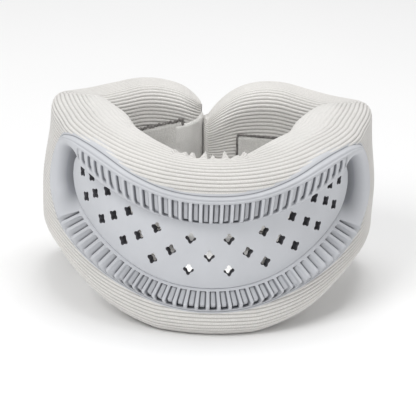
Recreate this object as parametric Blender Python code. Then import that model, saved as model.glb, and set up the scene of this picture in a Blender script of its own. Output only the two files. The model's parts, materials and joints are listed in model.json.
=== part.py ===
"""Padded neck support collar: ribbed foam pads, a ventilated front shell and a rear closure strap.

The wearer's chin is over the front, at -Y. +X is to the right seen from the front, and +Z is up.
Sizes are in metres. Every surface follows one plan curve: a place is given as s, the length along
the collar's outer plan curve from the front centre (right positive), z, its height, and d, its
distance outward from that curve.
"""
import math

import bmesh
import bpy
import numpy as np

MM = 0.001

# Driving dimensions
HALF_WIDTH = 90.5 * MM
FRONT_REACH = 100.0 * MM
REAR_REACH = 52.0 * MM
REAR_SQUARENESS = 2.4
PAD_THICKNESS = 27.5 * MM
COVER_THICKNESS = 1.0 * MM
CLEARANCE = 0.3 * MM
FOAM_CLEARANCE = 0.8 * MM

LIP_PROUD = 1.6 * MM
SHELL_THICKNESS = 2.2 * MM
PANEL_DEPTH = 7.0 * MM
PANEL_THICKNESS = 4.5 * MM
UPPER_BARS = 31
LOWER_BARS = 35
BAR_SHARE = 0.42
BAR_HEIGHT = 2.0 * MM
# Slope of a bar's sides and the gaps round a strip of bars, as shares of the outline and the wall.
BAR_RAMP = 0.014
STRIP_GAP = 0.02
STRIP_END = 0.985
HOLE_RADIUS = 2.7 * MM
HOLE_LOBES = 0.55 * MM

STRAP_THICKNESS = 1.4 * MM
FLEECE_THICKNESS = 0.8 * MM
STRAP_LOW = 27.0 * MM
STRAP_HIGH = 72.0 * MM
STRAP_REACH = 46.0 * MM
ANCHOR_REACH = 34.0 * MM
TAB_LENGTH = 6.0 * MM
STRAP_ROOT = 3.2 * MM
GAP_SIDE_SHIFT = 2.7 * MM
LINING_START = 179.0 * MM
LINING_END_GAP = 17.0 * MM
LINING_LOW = 15.0 * MM
LINING_HIGH = 71.0 * MM
BINDING_WIDTH = 1.6 * MM
SEAT_MARGIN = 2.2 * MM
PIPING_OFFSET = 1.3 * MM
PIPING_RADIUS = 0.8 * MM
PIPING_DEPTH = -0.7 * MM

SHELL_GREY = (0.60, 0.63, 0.68)
PANEL_GREY = (0.63, 0.66, 0.71)
HOOK_GREY = (0.55, 0.55, 0.54)
KNIT_GREY = (0.72, 0.71, 0.68)
FOAM_WHITE = (0.80, 0.78, 0.70)
LINING_GREY = (0.62, 0.61, 0.58)
STITCH_GREY = (0.20, 0.19, 0.18)
STRAP_GREY = (0.70, 0.69, 0.66)

# Half outlines of the front shell, as (s, z) in mm from the top centre round to the bottom centre.
RIM_HALF = [(0, 78), (21, 79.3), (42, 84), (63, 90), (80, 93), (93, 93), (106, 88.5), (115.5, 77.5),
            (117, 62), (106, 46.5), (88, 37.5), (65, 29), (43, 22.2), (21, 16.7), (0, 15)]
PANEL_HALF = [(0, 61), (20, 62), (39, 65.5), (58, 71), (76, 77), (89, 80.5), (98, 79), (101.5, 71.5),
              (98, 62.5), (90, 54.5), (76, 46.5), (57, 37.5), (38, 30.3), (19, 26.2), (0, 25)]
STEPS_PER_POINT = 4
CORNER_STEPS = 3
# Outline point numbers where the bars stop, and how far the lips reach across the wall.
UPPER_END = 4.25
LOWER_END = 9.25
UPPER_LIP = 0.2
LOWER_LIP = 0.14

# Heights along the collar, as (s, z) in mm.
CREST = [(0, 92), (50, 94), (85, 97.5), (110, 99), (150, 98.5), (165, 96), (180, 94), (195, 93.2),
         (210, 94.5), (225, 96.5), (240, 95.3), (252, 91), (262, 83), (268, 76)]
HEM = [(0, 0), (26, 0), (43, 3.3), (61, 8), (84, 15.5), (110, 22.5), (130, 23.5), (150, 20), (165, 14),
       (185, 7), (212, 0.8), (220, 0), (234, 0), (246, 3), (258, 11), (270, 24)]
# How far the jaw shelf at the crest reaches in past the rest of the pad, as (s, reach) in mm.
JAW_SHELF = [(0, 3), (10, 3), (20, 4.5), (30, 8), (40, 11.5), (60, 15), (85, 15.5), (110, 14.5), (130, 12),
             (150, 7.5), (164, 2.5), (175, 0), (268, 0)]
SHELF_LOW = 42.0 * MM
PAD_JOINT = 101.9 * MM
# The window behind the panel: its half length, the gap round it, and where its pointed tips lie.
WINDOW_REACH = 101.0 * MM
WINDOW_MARGIN = 1.2 * MM
TIP_START = 98.0 * MM
TIP_HEIGHT = 71.0 * MM


def plan_table():
    """Arc lengths and points of the right half of the plan curve, front centre to rear centre."""
    quarter = np.linspace(0.0, math.pi / 2, 1500)
    front = np.stack([HALF_WIDTH * np.sin(quarter), -FRONT_REACH * np.cos(quarter)], 1)
    power = 2.0 / REAR_SQUARENESS
    rear = np.stack([HALF_WIDTH * np.cos(quarter) ** power, REAR_REACH * np.sin(quarter) ** power], 1)
    points = np.concatenate([front, rear[1:]])
    steps = np.linalg.norm(np.diff(points, axis=0), axis=1)
    return np.concatenate([[0.0], np.cumsum(steps)]), points


PLAN_S, PLAN_POINTS = plan_table()
SEAM_S = float(PLAN_S[1499])
REAR_S = float(PLAN_S[-1])
STACK = 2 * CLEARANCE + 2 * FLEECE_THICKNESS + CLEARANCE + STRAP_THICKNESS
CENTRE_SHIFT = (FRONT_REACH + LIP_PROUD - REAR_REACH - STACK) / 2


def plan_point(s):
    """Point on the plan curve; past the rear centre the curve goes on round the other side."""
    turn = (s + REAR_S) % (2 * REAR_S) - REAR_S
    x = np.interp(abs(turn), PLAN_S, PLAN_POINTS[:, 0])
    y = np.interp(abs(turn), PLAN_S, PLAN_POINTS[:, 1])
    return np.array([math.copysign(x, turn), y])


def place(s, z, d):
    """World point at plan length s, height z and outward distance d."""
    reach = 0.8 * MM
    point = plan_point(s)
    along = plan_point(s + reach) - plan_point(s - reach)
    along /= np.linalg.norm(along)
    return (point[0] + along[1] * d, point[1] - along[0] * d + CENTRE_SHIFT, z)


def height(table, s):
    """Smooth height in metres at plan length s from a table of points in mm."""
    where = np.array([row[0] for row in table], float)
    value = np.array([row[1] for row in table], float)
    slope = np.gradient(value, where)
    slope[0] = 0.0
    here = min(abs(s) / MM, where[-1])
    i = min(int(np.searchsorted(where, here, side="right")) - 1, len(where) - 2)
    span = where[i + 1] - where[i]
    t = (here - where[i]) / span
    start = (1 + 2 * t) * (1 - t) ** 2 * value[i] + t * (1 - t) ** 2 * span * slope[i]
    end = t * t * (3 - 2 * t) * value[i + 1] + t * t * (t - 1) * span * slope[i + 1]
    return max(start + end, 0.0) * MM


# ---------------------------------------------------------------- meshes

def material(name, colour, roughness):
    existing = bpy.data.materials.get(name)
    if existing:
        return existing
    made = bpy.data.materials.new(name)
    made.use_nodes = True
    shader = made.node_tree.nodes["Principled BSDF"]
    shader.inputs["Base Color"].default_value = (*colour, 1.0)
    shader.inputs["Roughness"].default_value = roughness
    shader.inputs["Metallic"].default_value = 0.0
    made.diffuse_color = (*colour, 1.0)
    return made


def add_mesh(name, mesh_builder, look, owner):
    """Make a named object in the owner collection from a filled bmesh."""
    mesh_builder.verts.ensure_lookup_table()
    bmesh.ops.recalc_face_normals(mesh_builder, faces=mesh_builder.faces)
    for face in mesh_builder.faces:
        face.smooth = True
    mesh = bpy.data.meshes.new(name)
    mesh_builder.to_mesh(mesh)
    mesh_builder.free()
    made = bpy.data.objects.new(name, mesh)
    made.data.materials.append(look)
    owner.objects.link(made)
    return made


def skin(builder, rings, closed_path=False):
    """Join rings of equally many (s, z, d) places with quads; return the rings' vertices."""
    rows = []
    for ring in rings:
        rows.append([builder.verts.new(place(*point)) for point in ring])
    pairs = list(zip(rows, rows[1:]))
    if closed_path:
        pairs.append((rows[-1], rows[0]))
    count = len(rows[0])
    for near, far in pairs:
        for i in range(count):
            j = (i + 1) % count
            builder.faces.new((near[i], near[j], far[j], far[i]))
    return rows


def loft(name, rings, look, owner, closed_path=False):
    """One solid through the rings, capped at both ends unless its path is closed."""
    builder = bmesh.new()
    rows = skin(builder, rings, closed_path)
    if not closed_path:
        builder.faces.new(rows[0])
        builder.faces.new(list(reversed(rows[-1])))
    return add_mesh(name, builder, look, owner)


def sleeve(name, outer_rings, inner_rings, look, owner, closed_end=False):
    """A wall between two sets of rings, open at its first end, and at its last unless closed."""
    builder = bmesh.new()
    outer = skin(builder, outer_rings)
    inner = skin(builder, inner_rings)
    count = len(outer[0])
    ends = [(outer[0], inner[0])]
    if closed_end:
        builder.faces.new(outer[-1])
        builder.faces.new(inner[-1])
    else:
        ends.append((outer[-1], inner[-1]))
    for out_row, in_row in ends:
        for i in range(count):
            j = (i + 1) % count
            builder.faces.new((out_row[i], out_row[j], in_row[j], in_row[i]))
    return add_mesh(name, builder, look, owner)


# ---------------------------------------------------------------- shell outlines

def closed_outline(half):
    """Closed smooth (s, z) outline in metres: clockwise from the top centre, right side first."""
    left = [(-s, z) for s, z in reversed(half[1:-1])]
    points = np.array(half + left, float) * MM
    count = len(points)
    outline = []
    for i in range(count):
        before, start, end, after = (points[(i + k) % count] for k in (-1, 0, 1, 2))
        for step in range(STEPS_PER_POINT):
            t = step / STEPS_PER_POINT
            outline.append(0.5 * (2 * start + (end - before) * t
                                  + (2 * before - 5 * start + 4 * end - after) * t ** 2
                                  + (3 * start - before - 3 * end + after) * t ** 3))
    return np.array(outline)


RIM = closed_outline(RIM_HALF)
PANEL = closed_outline(PANEL_HALF)
TURNS = len(RIM_HALF) * 2 - 2


def outline_point(outline, turn):
    """Point of an outline at a fractional control point number."""
    where = (turn % TURNS) * STEPS_PER_POINT
    i = int(where)
    t = where - i
    return outline[i % len(outline)] * (1 - t) + outline[(i + 1) % len(outline)] * t


def wall_place(turn, w, d):
    """Place on the wall band: w is 0 on the rim and 1 on the edge of the panel."""
    s, z = outline_point(RIM, turn) * (1 - w) + outline_point(PANEL, turn) * w
    return (s, z, d)


def edge_distance(outline, s, z):
    """Distance to an outline, negative inside it."""
    point = np.array([s, z])
    start = outline
    run = np.roll(outline, -1, axis=0) - start
    t = np.clip(np.einsum("ij,ij->i", point - start, run) / np.einsum("ij,ij->i", run, run), 0, 1)
    nearest = np.linalg.norm(start + run * t[:, None] - point, axis=1).min()
    far = np.roll(outline, -1, axis=0)
    crosses = (start[:, 1] > z) != (far[:, 1] > z)
    rise = np.where(crosses, far[:, 1] - start[:, 1], 1.0)
    at = start[:, 0] + (z - start[:, 1]) / rise * run[:, 0]
    inside = np.count_nonzero(crosses & (at > s)) % 2 == 1
    return -nearest if inside else nearest


def seat_depth(s, z):
    """How far out a pad may reach at a place: it steps in below the shell."""
    rim_gap = edge_distance(RIM, s, z)
    if rim_gap > SEAT_MARGIN:
        return min(0.0, -3.0 * MM + (rim_gap - SEAT_MARGIN) * 1.2)
    panel_gap = max(edge_distance(PANEL, s, z), 0.0)
    share = max(-rim_gap, 0.0) / (max(-rim_gap, 0.0) + panel_gap + 0.01 * MM)
    return -3.0 * MM - 9.8 * MM * min(1.0, share * 1.15)


# ---------------------------------------------------------------- pads

def pad_ring(s, low, high, inset, radii, face_steps, taper=0.0):
    """Rounded section of a pad at s. radii are outer top, inner top, inner bottom, outer bottom."""
    out = -inset - taper
    back = -PAD_THICKNESS + inset + taper
    low += inset
    high -= inset
    corners = [(out, high, 0, radii[0]), (back, high, 90, radii[1]),
               (back, low, 180, radii[2]), (out, low, 270, radii[3])]
    room = min(high - low, out - back) / 2.02
    points = []
    for d, z, start, radius in corners:
        bend = min(max(radius - inset, 0.5 * MM), room)
        centre_d = d - bend if d == out else d + bend
        centre_z = z - bend if z == high else z + bend
        for step in range(CORNER_STEPS + 1):
            angle = math.radians(start + 90 * step / CORNER_STEPS)
            points.append((centre_d + bend * math.cos(angle), centre_z + bend * math.sin(angle)))
    first_d, first_z = points[0]
    last_d, last_z = points[-1]
    for step in range(1, face_steps):
        t = step / face_steps
        points.append((last_d + (first_d - last_d) * t, last_z + (first_z - last_z) * t))
    reach = height(JAW_SHELF, s) / PAD_THICKNESS
    rise = height(CREST, s) - SHELF_LOW
    ring = []
    for d, z in points:
        share = min(max((z - SHELF_LOW) / rise, 0.0), 1.0)
        ring.append((s, z, min(d * (1 + reach * share), seat_depth(s, z) - inset)))
    return ring


def add_pad(name, stations, section, looks, owner):
    """A cover sleeve open at both ends and the foam core inside it."""
    outer = [section(s, 0.0) for s in stations]
    inner = [section(s, COVER_THICKNESS) for s in stations]
    sleeve(name + "_cover", outer, inner, looks["knit"], owner)
    core_stations = [stations[0] + CLEARANCE, *stations[1:-1], stations[-1] - CLEARANCE]
    core = [section(s, COVER_THICKNESS + FOAM_CLEARANCE) for s in core_stations]
    loft(name + "_foam", core, looks["foam"], owner)


def window_edges(s):
    """Top and bottom of the panel outline at s, in metres."""
    here = min(abs(s), WINDOW_REACH + 0.3 * MM)
    half = PANEL[:len(PANEL) // 2 + 1]
    split = int(np.argmax(half[:, 0]))
    top = np.interp(here, half[:split + 1, 0], half[:split + 1, 1])
    bottom = np.interp(here, half[split:, 0][::-1], half[split:, 1][::-1])
    return float(top), float(bottom)


def chin_section(s, inset):
    top = window_edges(s)[0]
    low = max(top + WINDOW_MARGIN, TIP_HEIGHT + 0.9 * MM if abs(s) > TIP_START else 0.0)
    shoulder = (14 - 5 * (s / PAD_JOINT) ** 2) * MM
    return pad_ring(s, low, height(CREST, s), inset, (shoulder, 9 * MM, 8 * MM, 5 * MM), 4)


def chest_section(s, inset):
    bottom = window_edges(s)[1]
    high = min(bottom - WINDOW_MARGIN, TIP_HEIGHT)
    return pad_ring(s, height(HEM, s), high, inset, (4 * MM, 6 * MM, 9 * MM, 9 * MM), 4)


def cheek_section(s, inset):
    return pad_ring(s, height(HEM, s), height(CREST, s), inset,
                    (7 * MM, 9 * MM, 10 * MM, 12 * MM), 9)


def add_front_pads(looks, owner):
    edge = PAD_JOINT - CLEARANCE
    add_pad("chin_roll", np.linspace(-edge, edge, 27), chin_section, looks, owner)
    add_pad("chest_roll", np.linspace(-edge, edge, 27), chest_section, looks, owner)
    seam = SEAM_S - CLEARANCE / 2
    for side, word in ((-1, "left"), (1, "right")):
        stations = np.linspace(PAD_JOINT, seam, 9) * side
        add_pad(word + "_side_pad", sorted(stations), cheek_section, looks, owner)


def wing_stations(side):
    """Plan lengths of a wing's rings and how much each ring is drawn in toward the rounded end."""
    nose = PAD_THICKNESS / 2 - 1.5 * MM
    tip = REAR_S + side * GAP_SIDE_SHIFT - 0.5 * MM
    stations = [(side * s, 0.0) for s in np.linspace(SEAM_S + CLEARANCE / 2, tip - nose, 17)]
    for step in range(1, 5):
        angle = math.radians(90 * step / 4.4)
        stations.append((side * (tip - nose + nose * math.sin(angle)), nose * (1 - math.cos(angle))))
    return stations


def wing_section(s, taper, inset):
    low = height(HEM, s) + taper * 0.3
    high = height(CREST, s) - taper * 0.2
    return pad_ring(s, low, high, inset, (12 * MM, 10 * MM, 10 * MM, 12 * MM), 2, taper)


def add_wing(side, word, looks, owner):
    """Rear wing: a knit cover closed round its end, foam, a smooth lining patch and its binding."""
    stations = wing_stations(side)
    outer = [wing_section(s, taper, 0.0) for s, taper in stations]
    inner = [wing_section(s, taper, COVER_THICKNESS) for s, taper in stations[:-1]]
    inset = COVER_THICKNESS + FOAM_CLEARANCE
    core = [wing_section(stations[0][0] + side * CLEARANCE, 0.0, inset)]
    core += [wing_section(s, taper, inset) for s, taper in stations[1:-2]]
    span = (side * LINING_START, side * (REAR_S - LINING_END_GAP))
    inner_face = -PAD_THICKNESS - CLEARANCE
    depths = (inner_face - FLEECE_THICKNESS, inner_face)
    return [sleeve(word + "_wing_cover", outer, inner, looks["knit"], owner, closed_end=True),
            loft(word + "_wing_foam", core, looks["foam"], owner),
            sheet(word + "_wing_lining", span, (LINING_LOW, LINING_HIGH), depths, looks["lining"], owner),
            border(word + "_lining_binding", span, (LINING_LOW, LINING_HIGH), depths, looks, owner)]


def sheet(name, span, heights, depths, look, owner):
    """Thin plate that follows the plan curve over a span of s."""
    low, high = heights
    back, front = depths
    count = max(3, int(abs(span[1] - span[0]) / (4.5 * MM)) + 1)
    chamfer = min(0.3 * MM, (front - back) * 0.3)
    rings = []
    for s in np.linspace(span[0], span[1], count):
        rings.append([(s, low + chamfer, back), (s, high - chamfer, back), (s, high, back + chamfer),
                      (s, high, front - chamfer), (s, high - chamfer, front), (s, low + chamfer, front),
                      (s, low, front - chamfer), (s, low, back + chamfer)])
    return loft(name, rings, look, owner)


def border(name, span, heights, depths, looks, owner):
    """Narrow stitched binding all round a sheet."""
    near, far = sorted(span)
    low, high = heights
    corners = [(near, low), (far, low), (far, high), (near, high)]
    corner_out = [(-1, -1), (1, -1), (1, 1), (-1, 1)]
    rings = []
    for i in range(4):
        s_start, z_start = corners[i]
        s_end, z_end = corners[(i + 1) % 4]
        count = max(2, int(math.hypot(s_end - s_start, z_end - z_start) / (5 * MM)))
        for step in range(count):
            t = step / count
            out_s, out_z = corner_out[i]
            if step:
                out_s = (corner_out[i][0] + corner_out[(i + 1) % 4][0]) / 2
                out_z = (corner_out[i][1] + corner_out[(i + 1) % 4][1]) / 2
            ring = []
            for offset, d in ((CLEARANCE, depths[1]), (CLEARANCE, depths[0]),
                              (CLEARANCE + BINDING_WIDTH, depths[0]),
                              (CLEARANCE + BINDING_WIDTH, depths[1])):
                ring.append((s_start + (s_end - s_start) * t + out_s * offset,
                             z_start + (z_end - z_start) * t + out_z * offset, d))
            rings.append(ring)
    return loft(name, rings, looks["stitch"], owner, closed_path=True)


# ---------------------------------------------------------------- front shell

def wall_depth(turn, w):
    """Outward depth of the shell wall's front surface, blended from upper, end and lower walls."""
    upper = np.interp(w, (0, 0.06, 0.14, 0.2, 0.8, 0.9, 1.0), (0.6, 1.6, 1.6, 0.9, 0.6, -1.5, -6.6))
    lower = np.interp(w, (0, 0.1, 0.2, 0.5, 0.75, 1.0), (0.4, 1.2, 1.0, 1.4, -2.5, -6.6))
    end = np.interp(w, (0, 0.08, 0.2, 0.35, 0.6, 0.85, 1.0), (0.4, 1.6, 1.2, -1.0, -5.0, -6.6, -6.8))
    side_turn = min(turn % TURNS, TURNS - turn % TURNS)
    to_end = min(max(side_turn - UPPER_END, 0.0), 1.0)
    to_lower = min(max(side_turn - LOWER_END + 1.0, 0.0), 1.0)
    return float(upper * (1 - to_end) + (end * (1 - to_lower) + lower * to_lower) * to_end) * MM


def wall_ring(turn, fronts, rise):
    """Closed section across the wall band: front points raised by rise, back points below."""
    front = [wall_place(turn, w, wall_depth(turn, w) + rise) for w in fronts]
    back = [wall_place(turn, w, wall_depth(turn, w) - SHELL_THICKNESS) for w in fronts[::-1]]
    return front + back


def add_bezel(looks, owner):
    """Outer frame of the shell: a lip all round, and the smooth gutters at both ends."""
    turns = [turn for turn in np.arange(0.0, TURNS, 0.25)
             if turn % 0.5 == 0 or UPPER_END <= min(turn, TURNS - turn) <= LOWER_END]
    rings = []
    for turn in turns:
        side_turn = min(turn, TURNS - turn)
        if side_turn <= UPPER_END:
            reach = UPPER_LIP
        elif side_turn >= LOWER_END:
            reach = LOWER_LIP
        else:
            reach = 1.0
        rings.append(wall_ring(turn, np.linspace(0.0, reach, 6), 0.0))
        for edge, lip in ((UPPER_END, UPPER_LIP), (LOWER_END, LOWER_LIP)):
            if side_turn == edge:
                step = STRIP_GAP if (edge == UPPER_END) == (turn < TURNS / 2) else -STRIP_GAP
                extra = wall_ring(turn + step, np.linspace(0.0, 1.0, 6), 0.0)
                if step > 0:
                    rings.append(extra)
                else:
                    rings.insert(-1, extra)
    return loft("shell_bezel", rings, looks["shell"], owner, closed_path=True)


def even_turns(start, end, count):
    """Turn numbers that split the middle of the wall into equal lengths."""
    turns = np.linspace(start, end, 400)
    middle = np.array([(outline_point(RIM, t) + outline_point(PANEL, t)) / 2 for t in turns])
    lengths = np.concatenate([[0.0], np.cumsum(np.linalg.norm(np.diff(middle, axis=0), axis=1))])
    return np.interp(np.linspace(0.0, lengths[-1], count), lengths, turns)


def add_bar_strip(name, span, bars, fronts, looks, owner):
    """Flexible strip of bars with pockets between them."""
    edges = even_turns(span[0], span[1], bars * 2 + 2)
    rings = []
    for i in range(bars * 2 + 1):
        rise = BAR_HEIGHT if i % 2 else 0.0
        grow = (BAR_SHARE - 0.5) * (edges[i + 1] - edges[i]) * (1 if i % 2 else -1)
        start = edges[i] - grow / 2 + BAR_RAMP / 2
        end = edges[i + 1] + grow / 2 - BAR_RAMP / 2
        for turn in (start, end):
            rings.append(wall_ring(turn, fronts, rise - BAR_HEIGHT * 0.9))
    return loft(name, rings, looks["shell"], owner)


def hole_places():
    """Centres of the vent holes as (s, z, turn angle): three staggered rows that follow the shell."""
    places = []
    for base, climb, stretch, half_step in ((52.0, 3.7, 0.95, 0.5), (43.0, 3.8, 1.0, 0.0),
                                            (34.6, 3.8, 1.03, 0.5)):
        for k in np.arange(-5 + half_step, 5.1 if half_step == 0 else 5.0, 1.0):
            s = math.copysign(23.0 * abs(k) - 1.1 * k * k, k) * stretch
            z = base + climb * s * s / 1000
            places.append((s * MM, z * MM, math.atan(2 * climb * s / 1000)))
    return places


def add_vent_panel(looks, owner, cutters):
    """Perforated panel: a curved plate cut by one group of four-lobed holes."""
    stations = [WINDOW_REACH * math.sin(a) for a in np.linspace(-math.pi / 2, math.pi / 2, 37)]
    rings = []
    for s in stations:
        top, bottom = window_edges(s)
        heights = np.linspace(bottom + 0.35 * MM, top - 0.35 * MM, 5)
        front = [(s, z, -PANEL_DEPTH) for z in heights]
        back = [(s, z, -PANEL_DEPTH - PANEL_THICKNESS) for z in heights[::-1]]
        rings.append(front + back)
    panel = loft("vent_panel", rings, looks["panel"], owner)

    builder = bmesh.new()
    for s, z, slant in hole_places():
        ends = []
        for d in (-PANEL_DEPTH + 2 * MM, -PANEL_DEPTH - PANEL_THICKNESS - 2 * MM):
            row = []
            for step in range(16):
                angle = 2 * math.pi * step / 16
                radius = HOLE_RADIUS + HOLE_LOBES * math.cos(4 * angle)
                row.append(builder.verts.new(place(s + radius * math.cos(angle + slant),
                                                   z + radius * math.sin(angle + slant), d)))
            ends.append(row)
        for i in range(16):
            j = (i + 1) % 16
            builder.faces.new((ends[0][i], ends[0][j], ends[1][j], ends[1][i]))
        builder.faces.new(ends[0])
        builder.faces.new(list(reversed(ends[1])))
    holes = add_mesh("vent_hole_cutter", builder, looks["panel"], cutters)
    holes.hide_render = True
    holes.display_type = "WIRE"
    cut = panel.modifiers.new("vent_holes", "BOOLEAN")
    cut.operation = "DIFFERENCE"
    cut.solver = "EXACT"
    cut.object = holes
    return panel


def add_rim_piping(looks, owner):
    """Round cord sewn between the shell's lip and the knit cover."""
    rings = []
    count = len(RIM)
    for i in range(0, count, 2):
        along = RIM[(i + 2) % count] - RIM[i - 2]
        along /= np.linalg.norm(along)
        out_s, out_z = -along[1], along[0]
        ring = []
        for step in range(6):
            angle = 2 * math.pi * step / 6
            offset = PIPING_OFFSET + PIPING_RADIUS * math.cos(angle)
            ring.append((RIM[i][0] + out_s * offset, RIM[i][1] + out_z * offset,
                         PIPING_DEPTH + PIPING_RADIUS * math.sin(angle)))
        rings.append(ring)
    return loft("rim_piping", rings, looks["shell"], owner, closed_path=True)


def add_shell(looks, owner, cutters):
    add_bezel(looks, owner)
    add_vent_panel(looks, owner, cutters)
    add_rim_piping(looks, owner)
    gap = STRIP_GAP
    add_bar_strip("upper_flex_strip", (-UPPER_END + gap, UPPER_END - gap), UPPER_BARS,
                  (UPPER_LIP + gap, 0.8, 0.9, STRIP_END), looks, owner)
    add_bar_strip("lower_flex_strip", (LOWER_END + gap, TURNS - LOWER_END - gap), LOWER_BARS,
                  (LOWER_LIP + 1.5 * gap, 0.5, 0.75, STRIP_END), looks, owner)


# ---------------------------------------------------------------- closure

def add_closure(looks, owner):
    """Strap from the left wing's end across the outside of the right wing, and its fastening."""
    loop_out = CLEARANCE + FLEECE_THICKNESS
    hook_out = loop_out + CLEARANCE + FLEECE_THICKNESS
    strap_in = hook_out + CLEARANCE
    strap_out = strap_in + STRAP_THICKNESS
    root = REAR_S - STRAP_ROOT
    heights = (STRAP_LOW, STRAP_HIGH)
    inner_heights = (STRAP_LOW + 4 * MM, STRAP_HIGH - 4 * MM)
    patch = (REAR_S - STRAP_REACH + 1.5 * MM, REAR_S - 14 * MM)
    anchor = sheet("strap_anchor", (-root + CLEARANCE / 2, -REAR_S + ANCHOR_REACH), heights,
                   (CLEARANCE, strap_out), looks["strap"], owner)
    strap = sheet("closure_strap", (-root - CLEARANCE / 2, -REAR_S - STRAP_REACH), heights,
                  (strap_in, strap_out), looks["strap"], owner)
    tab = sheet("strap_end_tab", (-REAR_S - STRAP_REACH - CLEARANCE,
                                  -REAR_S - STRAP_REACH - CLEARANCE - TAB_LENGTH),
                (STRAP_LOW + 2 * MM, STRAP_HIGH - 2 * MM), (strap_in, strap_out + 0.8 * MM),
                looks["stitch"], owner)
    hook = sheet("hook_patch", patch, inner_heights, (loop_out + CLEARANCE, hook_out),
                 looks["hook"], owner)
    loop = sheet("loop_patch", patch, inner_heights, (CLEARANCE, loop_out), looks["lining"], owner)
    return anchor, strap, tab, hook, loop


def hinge_empty(name, s, d, owner):
    empty = bpy.data.objects.new(name, None)
    empty.location = place(s, 0.0, d)
    owner.objects.link(empty)
    return empty


def hang(parts, empty):
    """Parent parts to an empty and keep them where they are."""
    for part in parts:
        part.parent = empty
        part.matrix_parent_inverse.identity()
        part.location = -empty.location


def main():
    for existing in list(bpy.data.objects):
        bpy.data.objects.remove(existing, do_unlink=True)
    owner = bpy.data.collections.new("neck_support_collar")
    cutters = bpy.data.collections.new("cutters")
    for collection in (owner, cutters):
        bpy.context.scene.collection.children.link(collection)
    looks = {
        "knit": material("ribbed_knit", KNIT_GREY, 0.9),
        "foam": material("foam", FOAM_WHITE, 0.95),
        "shell": material("shell_elastomer", SHELL_GREY, 0.55),
        "panel": material("panel_elastomer", PANEL_GREY, 0.55),
        "lining": material("brushed_lining", LINING_GREY, 0.95),
        "stitch": material("binding_thread", STITCH_GREY, 0.9),
        "strap": material("strap_fabric", STRAP_GREY, 0.85),
        "hook": material("hook_tape", HOOK_GREY, 0.7),
    }
    add_front_pads(looks, owner)
    add_shell(looks, owner, cutters)
    left = add_wing(-1, "left", looks, owner)
    right = add_wing(1, "right", looks, owner)
    anchor, strap, tab, hook, loop = add_closure(looks, owner)
    left.append(anchor)
    right.append(loop)
    hang(left, hinge_empty("left_wing_hinge", -SEAM_S, 0.0, owner))
    hang(right, hinge_empty("right_wing_hinge", SEAM_S, 0.0, owner))
    hang([strap, tab, hook], hinge_empty("strap_hinge", -REAR_S + STRAP_ROOT, STACK, owner))


main()
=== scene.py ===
"""Looks of the padded neck support collar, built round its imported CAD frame.

Every surface follows one plan curve. A place is given as s, the length along the collar's outer
plan curve from the front centre (right positive), z, its height, and d, its distance outward.
All sizes are in metres unless a table says otherwise.
"""
import json
import math

import bmesh
import bpy
import numpy as np
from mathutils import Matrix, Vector


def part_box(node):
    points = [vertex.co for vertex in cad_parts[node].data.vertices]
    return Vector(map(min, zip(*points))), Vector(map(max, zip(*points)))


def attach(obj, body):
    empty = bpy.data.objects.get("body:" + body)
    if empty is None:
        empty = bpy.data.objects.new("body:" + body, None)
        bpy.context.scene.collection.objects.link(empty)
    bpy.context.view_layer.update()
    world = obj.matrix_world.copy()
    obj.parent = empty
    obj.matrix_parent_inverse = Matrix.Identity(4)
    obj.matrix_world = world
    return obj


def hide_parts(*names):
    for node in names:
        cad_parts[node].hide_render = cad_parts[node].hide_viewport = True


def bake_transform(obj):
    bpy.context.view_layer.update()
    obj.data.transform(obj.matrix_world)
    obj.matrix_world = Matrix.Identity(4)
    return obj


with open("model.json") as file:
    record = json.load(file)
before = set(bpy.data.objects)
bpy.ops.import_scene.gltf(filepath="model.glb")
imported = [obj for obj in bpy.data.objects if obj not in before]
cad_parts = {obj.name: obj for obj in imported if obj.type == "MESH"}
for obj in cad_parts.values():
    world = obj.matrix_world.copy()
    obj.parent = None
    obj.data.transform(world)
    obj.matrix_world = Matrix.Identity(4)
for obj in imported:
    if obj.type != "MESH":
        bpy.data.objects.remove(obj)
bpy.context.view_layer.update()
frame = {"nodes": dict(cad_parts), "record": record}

MM = 0.001

# ---------------------------------------------------------------- driving sizes, from the frame
HINGE = next(j for j in frame["record"]["behaviour"]["joints"] if j["name"] == "right_wing_open")
HALF_WIDTH, SEAM_Y = HINGE["pos_m"][0], HINGE["pos_m"][1]
FRONT_REACH = SEAM_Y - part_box("chest_roll_cover")[0].y
REAR_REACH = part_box("right_wing_cover")[1].y - SEAM_Y
REAR_SQUARENESS = 2.4
PAD_THICKNESS = 27.5 * MM
NOSE_LENGTH = 12.5 * MM
GAP_SIDE_SHIFT = 5.0 * MM
COVER_JOIN = 117.0 * MM

RIB_COUNT = 108
POINTS_PER_RIB = 7
RIB_HEIGHT = 0.68 * MM

PANEL_DEPTH = 7.0 * MM
PANEL_THICKNESS = 4.5 * MM
# Share of the lower wall, from the rim, where its bars have their elbow.
ELBOW = 0.42
# How far the two halves of a lower bar bend, in outline point numbers.
OUTER_BEND = 0.36
INNER_BEND = 0.14
UPPER_BARS = 31
LOWER_BARS = 35

# Rows of vent holes, as height at the front in mm, climb, stretch and the first hole's number.
HOLE_ROWS = ((52.0, 4.05, 0.97, 0.5), (43.0, 3.95, 1.01, 0.0), (34.6, 3.8, 1.03, 0.5))
LAST_HOLE = 5.0
# In mm: spacing at the front, how much closer the holes get per step, and the highest centre.
HOLE_SPACING = 23.0
HOLE_CROWDING = 1.1
HIGHEST_HOLE = 73.7
HOLE_RADIUS = 2.62
HOLE_LOBE = 0.52

# Linings inside the wings: where they start, how far they stop before the rear centre, and how
# much the left one's top edge climbs toward the rear.
LINING_START = 179.0 * MM
LINING_REAR_GAP = 17.0 * MM
LINING_LOW, LINING_HIGH = 15.0 * MM, 71.0 * MM
LEFT_LINING_RISE = 8.0 * MM
FACING_LOW, FACING_HIGH = 13.0 * MM, 76.0 * MM

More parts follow.
